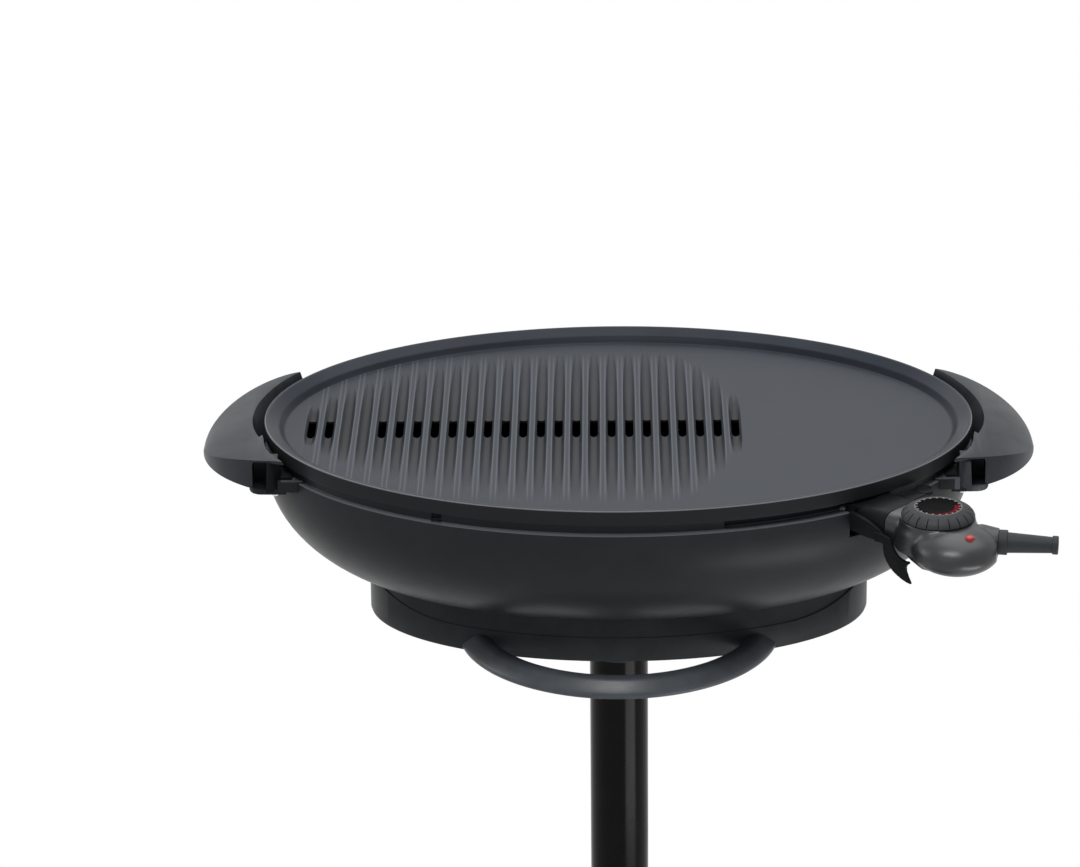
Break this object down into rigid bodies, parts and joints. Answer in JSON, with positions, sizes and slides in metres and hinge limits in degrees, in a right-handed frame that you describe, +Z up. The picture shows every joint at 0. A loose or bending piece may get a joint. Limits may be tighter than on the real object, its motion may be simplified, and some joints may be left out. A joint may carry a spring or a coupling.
{
  "type": "pedestal electric grill",
  "caption": "Oval electric grill plate with ribs, drain slots and a flat griddle end, in a bowl with side handles and a plug-in dial controller, on a round pedestal.",
  "frame": {"origin": "middle of the base's central foot pad, on the floor, under the pole's axis", "axes": "+Z up the pole; +X along the plate's long axis to the griddle end and the controller; +Y away from the user, from the front rail to the back"},
  "size_m": [0.5895, 0.44, 0.86],
  "materials": {
    "plate_coating": "satin non-stick coating on cast metal",
    "element_steel": "dull heat-toned steel sheath",
    "steel": "bright zinc-plated steel",
    "tin_plate": "pressed bright sheet steel",
    "ceramic": "unglazed ceramic",
    "hood_plastic": "satin",
    "bowl_enamel": "satin black enamel",
    "rubber": "matt",
    "handle_plastic": "satin",
    "bracket_plastic": "satin",
    "controller_plastic": "satin",
    "black_plastic": "satin",
    "brass": "plain",
    "relief_rubber": "matt",
    "lens_red": "clear red",
    "dial_plastic": "satin, printed ring",
    "cap_gloss": "gloss",
    "head_plastic": "satin",
    "rail_plastic": "satin",
    "pole_paint": "satin black powder coat",
    "base_plastic": "satin",
    "cast_weight": "rough cast, painted"
  },
  "bodies": {
    "stand": {"stand_head": "head_plastic", "front_rail": "rail_plastic", "rail_screws": "steel", "pole_socket": "black_plastic", "socket_screws": "steel", "pole_upper": "pole_paint", "pole_lower": "pole_paint", "pole_sleeve": "steel", "pole_screws": "steel", "base_dome": "base_plastic", "base_ballast": "cast_weight", "base_socket": "black_plastic", "base_bolts": "steel", "base_collar": "base_plastic", "base_feet": "rubber"},
    "bowl": {"bowl": "bowl_enamel", "bowl_feet": "rubber", "reflector_pan": "tin_plate", "drip_tray": "tin_plate", "handle_left": "handle_plastic", "handle_right": "handle_plastic", "bracket_left": "bracket_plastic", "bracket_right": "bracket_plastic", "handle_screws": "steel", "bracket_screws": "steel"},
    "plate": {"grill_plate": "plate_coating", "heating_element": "element_steel", "element_clamps": "steel", "terminal_block": "ceramic", "terminal_pins": "steel", "probe_guide": "steel", "terminal_hood": "hood_plastic", "hood_screws": "steel"},
    "controller": {"controller_upper_shell": "controller_plastic", "controller_lower_shell": "controller_plastic", "contact_block": "black_plastic", "probe_rod": "steel", "thermostat_switch": "brass", "strain_relief": "relief_rubber", "cord_clamp": "black_plastic", "pilot_lens": "lens_red", "controller_screws": "steel"},
    "dial": {"dial": "dial_plastic", "dial_cap": "cap_gloss", "dial_shaft": "steel"}
  },
  "joints": [
    {"name": "bowl_lift", "type": "slide", "parent": "stand", "child": "bowl", "axis": [0, 0, 1], "range_m": [0, 0.15]},
    {"name": "plate_lift", "type": "slide", "parent": "bowl", "child": "plate", "axis": [0, 0, 1], "range_m": [0, 0.12]},
    {"name": "controller_pull", "type": "slide", "parent": "plate", "child": "controller", "axis": [0.766, -0.6428, 0], "range_m": [0, 0.11]},
    {"name": "dial_turn", "type": "hinge", "parent": "controller", "child": "dial", "pos_m": [0.21498, -0.16498, 0.848], "axis": [0, 0, -1], "range_deg": [0, 270]}
  ]
}
